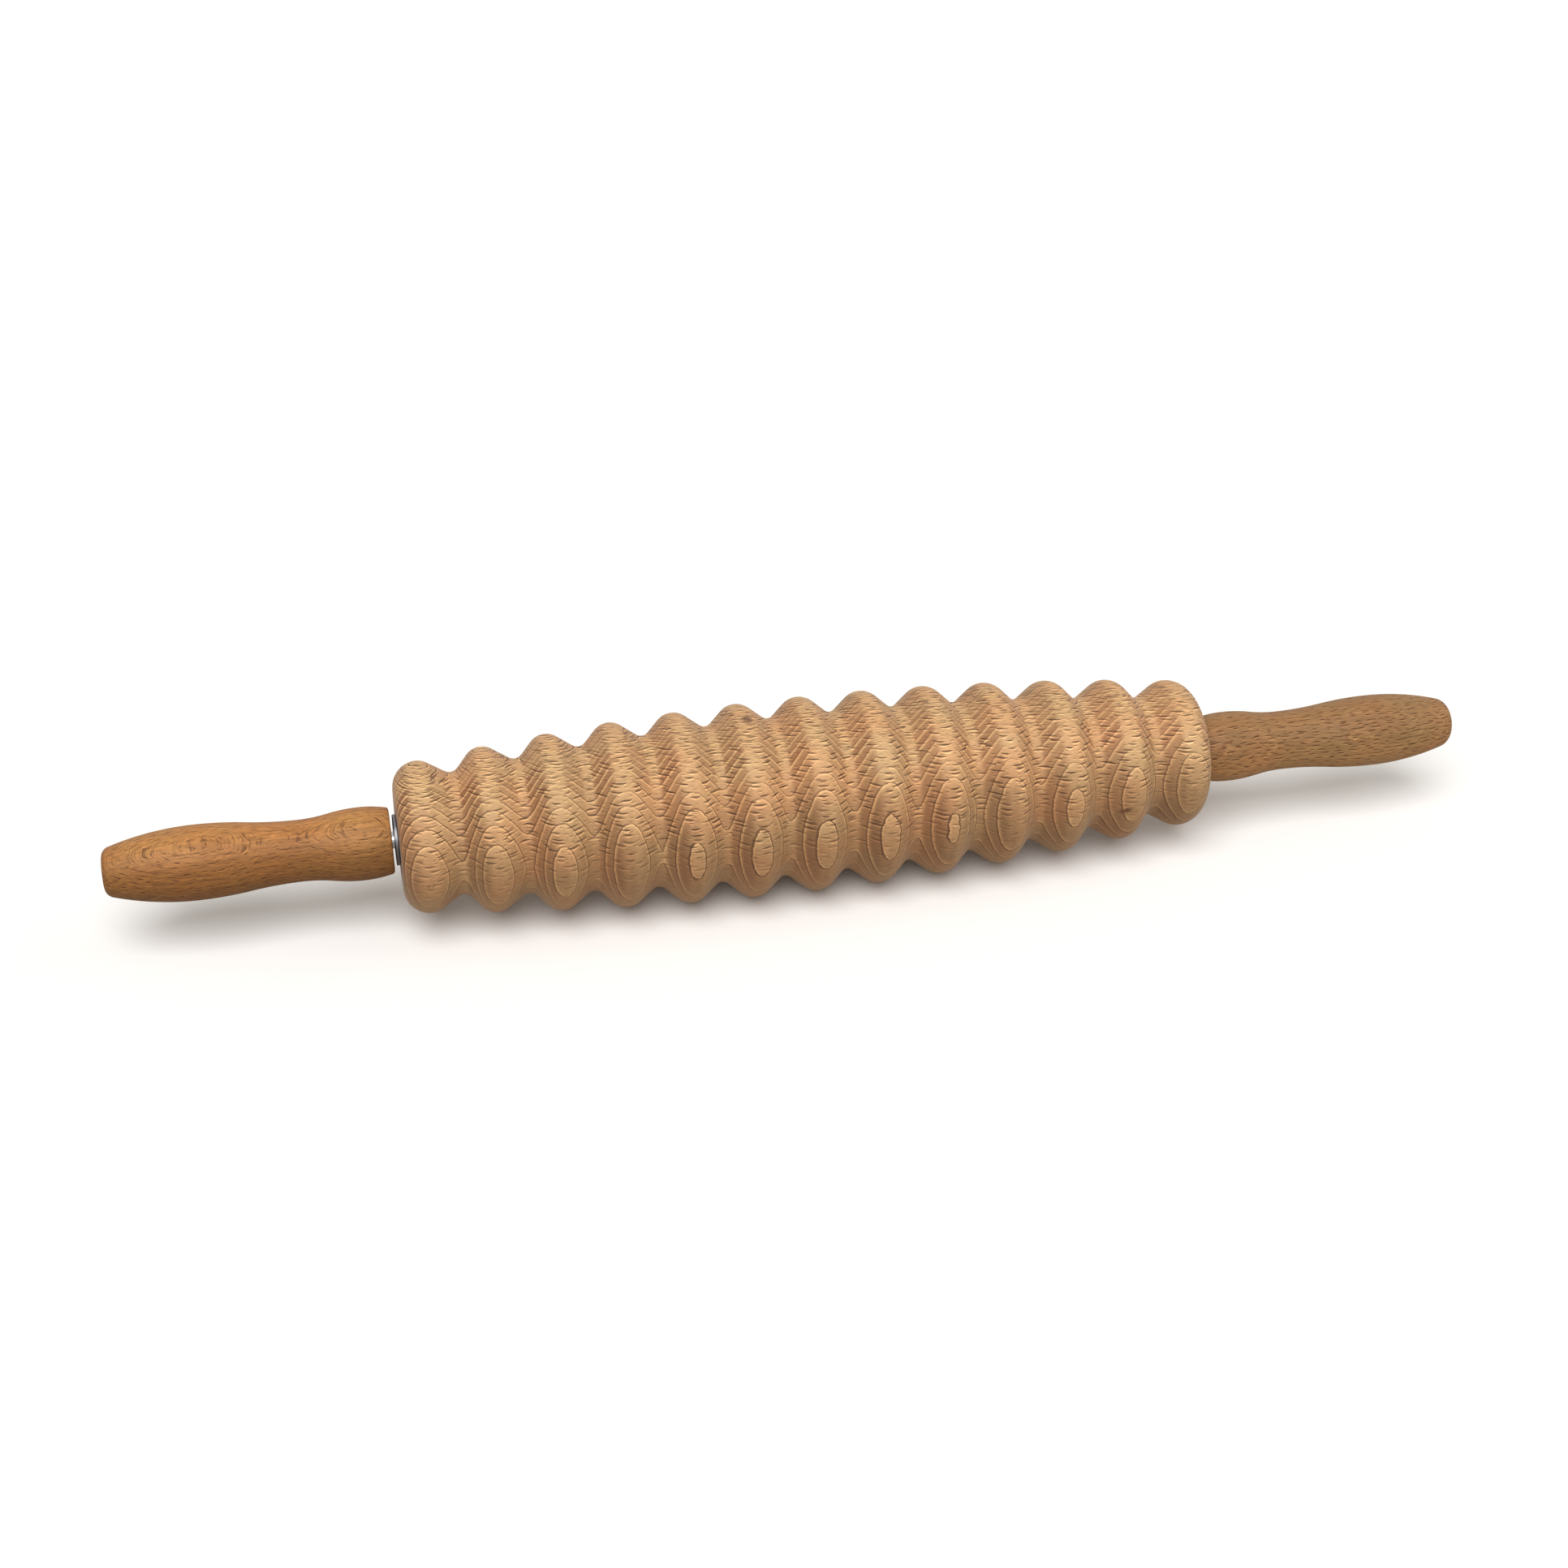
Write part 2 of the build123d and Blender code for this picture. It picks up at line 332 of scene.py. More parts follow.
def grid_mesh(name, grid, closed):
    """A mesh from a rows by columns grid of points, joined to quads, closed in the directions named."""
    rows, columns = grid.shape[:2]
    index = np.arange(rows * columns).reshape(rows, columns)
    if closed[0]:
        index = np.vstack([index, index[:1]])
    if closed[1]:
        index = np.hstack([index, index[:, :1]])
    corners = [index[:-1, :-1], index[:-1, 1:], index[1:, 1:], index[1:, :-1]]
    quads = np.stack(corners, axis=-1).reshape(-1, 4)
    mesh = bpy.data.meshes.new(name)
    mesh.vertices.add(rows * columns)
    mesh.vertices.foreach_set("co", grid.reshape(-1).astype(np.float32))
    mesh.loops.add(quads.size)
    mesh.loops.foreach_set("vertex_index", quads.reshape(-1).astype(np.int32))
    mesh.polygons.add(len(quads))
    mesh.polygons.foreach_set("loop_start", np.arange(0, quads.size, 4, dtype=np.int32))
    mesh.polygons.foreach_set("use_smooth", np.ones(len(quads), bool))
    mesh.update(calc_edges=True)
    mesh.validate()
    mesh.set_sharp_from_angle(angle=SHARP_ANGLE)
    return mesh


def add_piece(name, mesh, material, body, node):
    """Puts a finished mesh in the scene as the piece that stands for a node and moves with its body."""
    mesh.materials.append(material)
    piece = bpy.data.objects.new(name, mesh)
    bpy.context.scene.collection.objects.link(piece)
    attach(piece, body)
    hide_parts(node)
    return piece


def barrel_radius(x, sizes):
    """Radius of the long arc through the crests: it falls from the belly to the end rings."""
    last_crest = sizes.ring_pitch * (sizes.ring_count - 1) / 2
    drop = sizes.belly_radius - sizes.end_ring_radius
    arc_radius = (last_crest**2 + drop**2) / (2 * drop)
    return sizes.belly_radius - arc_radius + np.sqrt(arc_radius**2 - x**2)


def ring_radius(x, sizes):
    """Radius of the wavy line over the rings at each place x, for a whole array.

    Near a crest it is the crest's circle, near a groove the groove's circle, and between them the
    straight line that touches both, which is their inner tangent.
    """
    pitch, half = sizes.ring_pitch, sizes.ring_pitch / 2
    shift = 0.0 if sizes.ring_count % 2 else half
    crest = np.round((x - shift) / pitch) * pitch + shift
    side = np.where(x >= crest, 1.0, -1.0)
    groove = crest + side * half
    crest_round, groove_round = sizes.crest_rounding, sizes.groove_rounding
    crest_centre = barrel_radius(crest, sizes) - crest_round
    groove_centre = barrel_radius(groove, sizes) - sizes.groove_depth + groove_round
    rise = groove_centre - crest_centre
    normal = np.arctan2(rise, half) + np.arccos((crest_round + groove_round) / np.hypot(half, rise))
    leaves = crest_round * np.cos(normal)
    meets = half - groove_round * np.cos(normal)
    away = np.abs(x - crest)
    on_crest = crest_centre + np.sqrt(np.maximum(crest_round**2 - away**2, 0))
    on_groove = groove_centre - np.sqrt(np.maximum(groove_round**2 - (half - away) ** 2, 0))
    top = crest_centre + crest_round * np.sin(normal)
    on_flank = top - (away - leaves) / np.tan(normal)
    return np.where(away < leaves, on_crest, np.where(away > meets, on_groove, on_flank))


def roller_outline(sizes, end):
    """The barrel's closed outline: rings, quarter-round ends, end faces, bush seats and bore."""
    last_crest = sizes.ring_pitch * (sizes.ring_count - 1) / 2
    rounding = end - last_crest
    foot = sizes.end_ring_radius - rounding
    places = np.linspace(-last_crest, last_crest, int(2 * last_crest / RING_STEP))
    rings = np.column_stack([places, ring_radius(places, sizes)])
    edge, seat, bore = sizes.edge_break, sizes.seat_radius, sizes.bore_radius
    floor = end - sizes.seat_depth
    right = np.vstack([
        arc((last_crest, foot), rounding, pi / 2, 0, step=0.6 * MM),
        arc((end - edge, seat + edge), edge, 0, -pi / 2, step=0.12 * MM),
        [(floor, seat), (floor, bore + edge)],
        arc((floor - edge, bore + edge), edge, 0, -pi / 2, step=0.12 * MM),
    ])
    left = right[::-1] * (-1, 1)
    return np.vstack([rings, right, left])


def sag(radius, away):
    """How far a circle has fallen from its top at a distance along the tangent there."""
    return radius - np.sqrt(radius**2 - away**2)


def fall_radius(run, fall):
    """Radius of the circle that falls by fall over run, starting level."""
    return (run**2 + fall**2) / (2 * fall)


def handle_radius(x, sizes, handle_length):
    """Radius of the handle at each place x from its inner end, for a whole array.

    From the neck to the collar and from the palm to the tip it is one arc that is level at the swell,
    and down to the waist and up again it is an ogee: two equal arcs, level at both ends.
    """
    neck_arc = fall_radius(sizes.collar_place, sizes.collar_radius - sizes.neck_radius)
    tip_arc = fall_radius(handle_length - sizes.palm_place, sizes.palm_radius - sizes.tip_radius)

    def ogee(low_x, low_r, high_x, high_r):
        """The two equal arcs between a low and a high place."""
        half_run, half_fall = abs(high_x - low_x) / 2, (high_r - low_r) / 2
        bend = fall_radius(half_run, half_fall)
        from_low, from_high = np.abs(x - low_x), np.abs(x - high_x)
        near_low = from_low < half_run
        return np.where(
            near_low,
            low_r + sag(bend, np.minimum(from_low, half_run)),
            high_r - sag(bend, np.minimum(from_high, half_run)),
        )

    return np.select(
        [x < sizes.collar_place, x < sizes.waist_place, x < sizes.palm_place],
        [
            sizes.collar_radius - sag(neck_arc, np.abs(x - sizes.collar_place).clip(0, sizes.collar_place)),
            ogee(sizes.waist_place, sizes.waist_radius, sizes.collar_place, sizes.collar_radius),
            ogee(sizes.waist_place, sizes.waist_radius, sizes.palm_place, sizes.palm_radius),
        ],
        sizes.palm_radius - sag(tip_arc, (x - sizes.palm_place).clip(0, None)),
    )


def corner(swell_x, swell_r, bend, end, rounding):
    """The rounding between an end face and the arc that falls to it from a swell.

    Its centre lies one rounding inside both, so it is where a line parallel to the end face meets a
    circle concentric with the arc. Returns the centre and the angle at which the arc meets it.
    """
    side = 1 if end > swell_x else -1
    centre_x = end - side * rounding
    run = abs(centre_x - swell_x)
    centre_r = swell_r - bend + sqrt((bend - rounding) ** 2 - run**2)
    lean = np.arcsin(run / (bend - rounding))
    return (centre_x, centre_r), lean


def handle_outline(sizes, start, end, outer):
    """A handle's closed outline: rounded ends, swells, the insert's seat and the rod's hole.

    It runs towards +X, and outer is the rounding of its outer edge.
    """
    handle_length = end - start
    neck_arc = fall_radius(sizes.collar_place, sizes.collar_radius - sizes.neck_radius)
    tip_arc = fall_radius(handle_length - sizes.palm_place, sizes.palm_radius - sizes.tip_radius)
    inner, edge = sizes.inner_rounding, sizes.edge_break
    inner_centre, inner_lean = corner(sizes.collar_place, sizes.collar_radius, neck_arc, 0.0, inner)
    outer_centre, outer_lean = corner(sizes.palm_place, sizes.palm_radius, tip_arc, handle_length, outer)
    body_start = inner_centre[0] - inner * sin(inner_lean)
    body_end = outer_centre[0] + outer * sin(outer_lean)
    places = np.linspace(body_start, body_end, int(handle_length / HANDLE_STEP))
    outline = np.vstack([
        arc(inner_centre, inner, pi, pi / 2 + inner_lean, step=0.2 * MM),
        np.column_stack([places, handle_radius(places, sizes, handle_length)]),
        arc(outer_centre, outer, pi / 2 - outer_lean, 0, step=0.35 * MM),
        [(handle_length, PINHOLE), (sizes.hole_depth, PINHOLE)],
        [(sizes.hole_depth, sizes.hole_radius), (sizes.seat_depth, sizes.hole_radius)],
        [(sizes.seat_depth, sizes.seat_radius)],
        arc((edge, sizes.seat_radius + edge), edge, -pi / 2, -pi, step=0.1 * MM),
    ])
    return outline + (start, 0)


# --- Materials ---


class Nodes:
    """Adds shader nodes to one material. An input may be a number, a tuple or another node's output."""

    def __init__(self, material):
        self.tree = material.node_tree
        self.tree.nodes.clear()

    def add(self, kind, inputs=(), **settings):
        """Adds a shader node with its settings, and fills or links its inputs by name or number."""
        node = self.tree.nodes.new("ShaderNode" + kind)
        for key, value in settings.items():
            setattr(node, key, value)
        for key, value in dict(inputs).items():
            self.feed(node.inputs[key], value)
        return node

    def feed(self, socket, value):
        """Links a node's output to the socket, or sets the socket to a plain value."""
        if isinstance(value, bpy.types.NodeSocket):
            self.tree.links.new(value, socket)
        else:
            socket.default_value = value

    def math(self, operation, a, b=0.0, c=0.0):
        """One Math node, such as a + b, or a b + c for MULTIPLY_ADD."""
        return self.add("Math", {0: a, 1: b, 2: c}, operation=operation).outputs[0]

    def times(self, first, *others):
        """All the numbers multiplied."""
        for other in others:
            first = self.math("MULTIPLY", first, other)
        return first

    def hypotenuse(self, a, b):
        """The square root of a a + b b."""
        return self.math("SQRT", self.math("ADD", self.times(a, a), self.times(b, b)))

    def sine(self, cosine):
        """The sine for a cosine, never quite zero."""
        square = self.math("SUBTRACT", 1.0, self.times(cosine, cosine))
        return self.math("SQRT", self.math("MAXIMUM", square, LEAST_SINE**2))

    def split(self, vector):
        """The three parts of a vector."""
        return self.add("SeparateXYZ", {0: vector}).outputs

    def scaled(self, vector, factors, shift=(0.0, 0.0, 0.0)):
        """The vector stretched by factors and moved by shift."""
        node = self.add("Mapping", {"Vector": vector, "Scale": factors, "Location": shift})
        return node.outputs[0]

    def step(self, value, low, high, to_low=0.0, to_high=1.0):
        """A smooth step from to_low to to_high as value goes from low to high."""
        inputs = {"Value": value, "From Min": low, "From Max": high, "To Min": to_low, "To Max": to_high}
        return self.add("MapRange", inputs, interpolation_type="SMOOTHSTEP").outputs[0]

    def noise(self, vector, detail=2.0, roughness=0.5, spread=1.0):
        """Soft noise about zero, within plus or minus half of spread."""
        inputs = {"Vector": vector, "Scale": 1.0, "Detail": detail, "Roughness": roughness}
        fac = self.add("TexNoise", inputs).outputs[0]
        return self.math("MULTIPLY", self.math("SUBTRACT", fac, 0.5), spread)

    def mix(self, factor, a, b, blend="MIX"):
        """Colour a turned to colour b by factor."""
        node = self.add("Mix", {0: factor}, data_type="RGBA", blend_type=blend)
        for socket, value in ((node.inputs[6], a), (node.inputs[7], b)):
            self.feed(socket, value if isinstance(value, bpy.types.NodeSocket) else (*value, 1.0))
        return node.outputs[2]

    def tinted(self, wood, tint):
        """A colour multiplied by another."""
        return self.mix(1.0, wood, tint, blend="MULTIPLY")

    def curve(self, value, points):
        """A smooth curve through (value, result) points."""
        node = self.add("FloatCurve", {"Value": value})
        line = node.mapping.curves[0]
        while len(line.points) < len(points):
            line.points.new(0.5, 0.5)
        for point, (x, y) in zip(line.points, points):
            point.location = (x, y)
        node.mapping.update()
        return node.outputs[0]

    def finish(self, principled, surface, roughness, relief, depth):
        """Feeds a shader its colour, its roughness and its relief, in which 1 stands depth high."""
        bump = self.add("Bump", {"Height": relief, "Distance": depth, "Strength": 1.0})
        for name, value in (("Base Color", surface), ("Roughness", roughness), ("Normal", bump.outputs[0])):
            self.feed(principled.inputs[name], value)


def new_material(name, **shader):
    """A material with one Principled shader, whose plain values are set on its own sockets."""
    material = bpy.data.materials.new(name)
    material.use_nodes = True
    nodes = Nodes(material)
    principled = nodes.add("BsdfPrincipled", shader)
    nodes.add("OutputMaterial", {"Surface": principled.outputs[0]})
    return material, nodes, principled


class Blank:
    """How one beech blank grew, as outputs of nodes that work in millimetres.

    The pith runs nearly along X at a distance behind the piece. The distance out from it gives the
    place in a year's layer, and the way round it the place among the rays. How steeply the surface cuts
    either comes from its normal.
    """

    def __init__(self, nodes, grain):
        math = nodes.math
        self.nodes, self.math, self.step, self.grain = nodes, math, nodes.step, grain
        coordinates = nodes.add("TexCoord").outputs
        self.place = coordinates["Object"]
        turned_by = (grain["turn"], 0.0, 0.0)
        grown = {"Vector": self.place, "Scale": (1 / MM,) * 3, "Rotation": turned_by}
        self.grown = nodes.add("Mapping", grown).outputs[0]
        facing = {"Vector": coordinates["Normal"], "Rotation": turned_by}
        facing = nodes.add("Mapping", facing, vector_type="NORMAL").outputs[0]
        self.along, self.back, self.side = nodes.split(self.grown)
        self.face_along, self.face_back, self.face_side = nodes.split(facing)

        # Distance out from the pith line, less the axis's own distance, and how the surface cuts the layers.
        pith_place = math("MULTIPLY_ADD", self.along, grain["lean"], grain["pith_height"])
        self.across = math("SUBTRACT", self.side, pith_place)
        depth = math("SUBTRACT", grain["pith"], self.back)
        reach = nodes.hypotenuse(depth, self.across)
        self.out = math("SUBTRACT", reach, grain["pith"])
        lie = math("SUBTRACT", nodes.times(self.face_side, self.across), nodes.times(self.face_back, depth))
        self.cut = nodes.sine(math("DIVIDE", lie, reach))
        from_axis = nodes.hypotenuse(self.out, self.across)
        self.aside = math("DIVIDE", math("ABSOLUTE", self.out), from_axis)
        self.front = nodes.step(self.aside, 0.62, 0.97)

        # On the underside little shows, and on sawn or turned end grain the lines are weaker.
        self.under = nodes.step(self.side, -20.0, -5.0, 0.15, 1.0)
        self.end_grain = nodes.step(math("ABSOLUTE", self.face_along), 0.88, 0.98, 1.0, 0.45)

        # Fibres, mottling, long streaks and slow changes of hue.
        self.fibre = self.flecks((0.30, 4.2, 4.2), detail=3.0, roughness=0.6)
        self.mottle = self.flecks((0.35, 1.1, 1.1), (5.0, 1.0, 2.0), detail=3.0)
        self.streak = self.flecks((0.07, 1.7, 1.7), (2.0, 0.0, 1.0))
        self.hue = self.flecks((0.05, 0.07, 0.07), (1.0, 7.0, 3.0), detail=1.0)
        self.add_layers()
        self.add_rays()

    def flecks(self, rates, shift=(0.0, 0.0, 0.0), **settings):
        """Noise in the blank, so many to the millimetre along each direction."""
        return self.nodes.noise(self.nodes.scaled(self.grown, rates, shift), **settings)

    def add_layers(self):
        """Year layers: the place in the year from 0 to 1, and one random number for each year."""
        nodes, math, grain = self.nodes, self.math, self.grain
        wander = self.flecks((0.10, 0.16, 0.16), detail=1.0, spread=grain["wander"])
        ripple = self.flecks((0.45, 0.6, 0.6), spread=grain["ripple"])
        layer = math("ADD", math("ADD", self.out, wander), ripple)
        layer = math("MULTIPLY_ADD", self.fibre, 0.25, layer)
        if "slope" in grain:
            layer = math("MULTIPLY_ADD", self.along, -grain["slope"], layer)
        if "drift" in grain:
            share = math("MULTIPLY_ADD", self.along, 1 / grain["drift_length"], 0.5)
            layer = math("SUBTRACT", layer, math("SUBTRACT", nodes.curve(share, grain["drift"]), 0.5))
        if "outer_year" in grain:
            low, high, extra = grain["outer_year"]
            layer = math("SUBTRACT", layer, nodes.step(layer, low, high, 0.0, extra))
        years = math("DIVIDE", math("SUBTRACT", layer, grain["boundary"]), grain["spacing"])
        year = math("FLOOR", years)
        self.season = math("SUBTRACT", years, year)
        self.mood = nodes.add("TexWhiteNoise", {"W": year}, noise_dimensions="1D").outputs["Value"]

    def add_rays(self):
        """Rays lie in planes through a line of their own: their rows go round it, and the surface cuts
        them more or less steeply.
        """
        nodes, math, grain = self.nodes, self.math, self.grain
        depth = math("SUBTRACT", grain["ray_pith"], self.back)
        reach = nodes.hypotenuse(depth, self.across)
        place = nodes.times(math("ARCTAN2", self.across, depth), grain["row_radius"])
        place = math("ADD", place, self.flecks((0.10, 0.15, 0.05), spread=1.2))
        self.row_place = math("ADD", place, self.flecks((0.7, 0.5, 0.1), spread=0.22))
        lie = math("ADD", nodes.times(self.face_back, self.across), nodes.times(self.face_side, depth))
        self.steep = nodes.sine(math("DIVIDE", lie, reach))
        self.edge_on = math("MAXIMUM", self.steep, 0.45)

    def late_wood(self):
        """How much late wood shows: on the front, and on the flanks as bands, most on the left ones."""
        nodes, math, step, grain = self.nodes, self.math, self.step, self.grain
        left = step(self.face_along, -0.64, -0.28, grain["flanks"][0], grain["crests"])
        right = step(self.face_along, 0.32, 0.68, grain["crests"], grain["flanks"][1])
        left = nodes.times(left, math("MULTIPLY_ADD", self.front, -0.45, 1.0))
        right = nodes.times(right, math("MULTIPLY_ADD", self.front, -0.85, 1.0))
        shown = math("MAXIMUM", left, right)
        shown = nodes.times(shown, step(self.aside, 0.30, 0.80, 0.60, 1.0), self.under)
        ahead = step(self.face_along, 0.0, 0.40, grain["front"], 0.35 * grain["front"])
        shown = math("MAXIMUM", shown, nodes.times(self.front, ahead))
        return nodes.times(
            step(self.season, 0.05, 0.45),
            shown,
            math("MULTIPLY_ADD", self.mood, 0.7, 0.55),
            math("MULTIPLY_ADD", self.mottle, 1.3, 1.0),
        )

    def year_lines(self):
        """The thin dark line that ends a year, and a painted highlight beside it as a light rim.

        Both are as thin where the surface lies along the layers as where it cuts them squarely.
        """
        nodes, math, step, grain = self.nodes, self.math, self.step, self.grain
        width = step(self.face_along, -0.30, 0.10, 0.72 / grain["spacing"], 0.48 / grain["spacing"])
        thin = nodes.times(self.cut, width)
        line = step(math("SUBTRACT", 1.0, self.season), nodes.times(thin, 0.45), thin, 1.0, 0.0)
        rim_highlight = step(self.season, nodes.times(thin, 0.3), nodes.times(thin, 1.3), 1.0, 0.0)
        left = step(self.face_along, -0.60, -0.25, grain["lines"][0], grain["crests"])
        right = step(self.face_along, 0.25, 0.55, grain["crests"], grain["lines"][1])
        lined = math("MAXIMUM", left, right)
        lined = nodes.times(lined, step(self.aside, 0.35, 0.85, 0.08, 1.0), self.under)
        lined = math("MAXIMUM", lined, nodes.times(self.front, grain["outline"]))
        lined = nodes.times(lined, math("MULTIPLY_ADD", self.mood, 0.5, 0.65), self.end_grain)
        return nodes.times(line, lined), nodes.times(rim_highlight, lined)

    def random(self, *parts):
        """Three even random numbers for each set of whole numbers."""
        place = self.nodes.add("CombineXYZ", dict(enumerate(parts))).outputs[0]
        noise = self.nodes.add("TexWhiteNoise", {"Vector": place}, noise_dimensions="3D")
        return self.nodes.add("SeparateColor", {0: noise.outputs["Color"]}).outputs

    def strokes(self, seed, pitch, cell_length, thickness, shortest, longest):
        """Strokes in rows a pitch apart, one to each cell of a row, tapered to both ends.

        A stroke's half width is the thickness times 1 - (distance from its middle / half length)
        squared. Returns the strokes and the painted highlights beside them. Random shifts of up to 17 cells
        and 5 sheets keep rows apart, and so does 57 for each sheet, a layer of strokes 13 mm deep.
        """
        nodes, math, step = self.nodes, self.math, self.step
        rows = math("DIVIDE", self.row_place, pitch)
        row = math("FLOOR", rows)
        offset = math("SUBTRACT", math("SUBTRACT", rows, row), 0.5)
        shift = self.random(row, seed, 0.0)
        cells = math("ADD", math("DIVIDE", self.along, cell_length), nodes.times(shift[0], 17.0))
        cell = math("FLOOR", cells)
        span = math("SUBTRACT", math("SUBTRACT", cells, cell), 0.5)
        sheet = math("FLOOR", math("ADD", math("DIVIDE", self.out, 13.0), nodes.times(shift[1], 5.0)))
        own = self.random(math("ADD", row, nodes.times(sheet, 57.0)), cell, seed)
        centre = nodes.times(math("SUBTRACT", own[0], 0.5), 0.62)
        tilt = nodes.times(math("SUBTRACT", own[1], 0.5), 0.35)
        centre = math("MULTIPLY_ADD", span, tilt, centre)
        half = math("MULTIPLY_ADD", own[2], (longest - shortest) / 2, shortest / 2)
        taper = math("DIVIDE", span, half)
        taper = math("SUBTRACT", 1.0, nodes.times(taper, taper))
        width = nodes.times(math("MAXIMUM", taper, 0.05), thickness, self.edge_on)
        gap = nodes.times(math("SUBTRACT", offset, centre), pitch)
        stroke = step(math("ABSOLUTE", gap), nodes.times(width, 0.4), width, 1.0, 0.0)
        lip_highlight = math("ABSOLUTE", math("MULTIPLY_ADD", width, 1.55, gap))
        lip_highlight = step(lip_highlight, nodes.times(width, 0.2), width, 1.0, 0.0)
        shown = nodes.times(step(taper, 0.0, 0.2), math("MULTIPLY_ADD", own[1], 0.4, 0.6))
        return nodes.times(stroke, shown), nodes.times(lip_highlight, shown)

    def rays(self):
        """All sets of strokes together, and the painted highlights beside them."""
        nodes, math, step, grain = self.nodes, self.math, self.step, self.grain
        rays = lip_highlights = 0.0
        slanting = step(self.steep, 0.60, 0.90, 1.0, 0.0)
        for number, (share, *measures) in enumerate(grain["rays"]):
            if share < 0:
                share = nodes.times(slanting, -share)
            stroke, lip_highlight = self.strokes(number + 1.0, *measures)
            rays = math("MAXIMUM", rays, nodes.times(stroke, share))
            lip_highlights = math("MAXIMUM", lip_highlights, nodes.times(lip_highlight, share))
        faded = nodes.times(
            step(self.side, *grain["fade"], 1.0),
            step(self.steep, 0.06, 0.30, grain["broken"], 1.0),
            self.end_grain,
        )
        return nodes.times(rays, faded), nodes.times(lip_highlights, faded)

    def nested_loops(self):
        """The finest rays, which show as nested loops where the surface lies along their planes."""
        nodes, step, grain = self.nodes, self.step, self.grain
        sheets = nodes.add("CombineXYZ", {0: self.along, 1: self.row_place, 2: self.out}).outputs[0]
        loops = nodes.noise(nodes.scaled(sheets, (*grain["loop_rate"], 0.06)), detail=1.0)
        return nodes.times(step(loops, 0.02, 0.17), step(self.steep, 0.10, 0.45, 1.0, 0.0), grain["loops"])

    def tone_and_shade_share(self):
        """How much of the tone shows: painted shade lower down, further out from the pith and sooner in a
        groove, with a random part from the slow changes of hue.
        """
        nodes, math, grain = self.nodes, self.math, self.grain
        inner = math("SUBTRACT", nodes.times(self.out, 0.5), nodes.times(self.side, 0.85))
        inner = math("ADD", inner, nodes.times(self.hue, 12.0))
        if "groove_shade" in grain:
            swing = math("COSINE", nodes.times(self.along, 2 * pi / grain["ring_pitch"]))
            low = math("SUBTRACT", 0.5, nodes.times(swing, 0.5))
            inner = math("ADD", inner, nodes.times(low, grain["groove_shade"]))
        return self.step(inner, *grain["darker"])

    def toned_wood(self, late_wood, look):
        """Early wood turned to late wood, with slow changes of hue, tints with painted shade and painted
        light among them, and the knots.
        """
        nodes, math, step, grain = self.nodes, self.math, self.step, self.grain
        wood = nodes.mix(late_wood, look.early, look.late)
        warm = nodes.tinted(wood, (1.04, 0.96, 0.93))
        cool = nodes.tinted(wood, (0.98, 1.02, 1.02))
        wood = nodes.mix(step(self.hue, -0.2, 0.2), warm, cool)
        # Painted shade: on the roller the tone darkens the wood lower down, towards the front and in the
        # grooves.
        wood = nodes.mix(self.tone_and_shade_share(), wood, nodes.tinted(wood, grain["tone"]))
        # Painted shade: the front's left-facing side is darkened as if lit from the right.
        if "left_side_shade" in grain:
            left_shade_share = nodes.times(self.front, step(self.face_along, -0.60, -0.15, 1.0, 0.0))
            wood = nodes.mix(left_shade_share, wood, nodes.tinted(wood, grain["left_side_shade"]))
        for place, reach, lean, darkness in grain.get("marks", ()):
            near = {"Vector": self.grown, "Location": place, "Rotation": (0.0, radians(lean), 0.0)}
            near = nodes.add("Mapping", {**near, "Scale": reach}, vector_type="TEXTURE").outputs[0]
            near = nodes.add("VectorMath", {0: near}, operation="LENGTH").outputs["Value"]
            near = nodes.times(step(math("ADD", near, self.fibre), 0.4, 1.1, 1.0, 0.0), darkness)
            wood = nodes.mix(near, wood, tuple(0.6 * value for value in look.late))
        # Painted shade and light by height: the left handle's lower side is darkened and the right one's
        # lightened.
        if "underside_light_and_shade" in grain:
            low, high, tint = grain["underside_light_and_shade"]
            height = math("DIVIDE", nodes.split(self.place)[2], MM)
            height = math("MULTIPLY_ADD", self.hue, 6.0, height)
            wood = nodes.mix(step(height, low, high), nodes.tinted(wood, tint), wood)
        return wood

    def shaded_wood(self, wood):
        """The wood with its fibres, mottling and streaks as light and dark."""
        shade = self.math("MULTIPLY_ADD", self.mottle, 0.42, 1.0)
        shade = self.math("MULTIPLY_ADD", self.fibre, 0.80, shade)
        shade = self.math("MULTIPLY_ADD", self.streak, self.grain["streaks"], shade)
        shade = self.nodes.add("CombineColor", {0: shade, 1: shade, 2: shade}).outputs[0]
        return self.nodes.tinted(wood, shade)


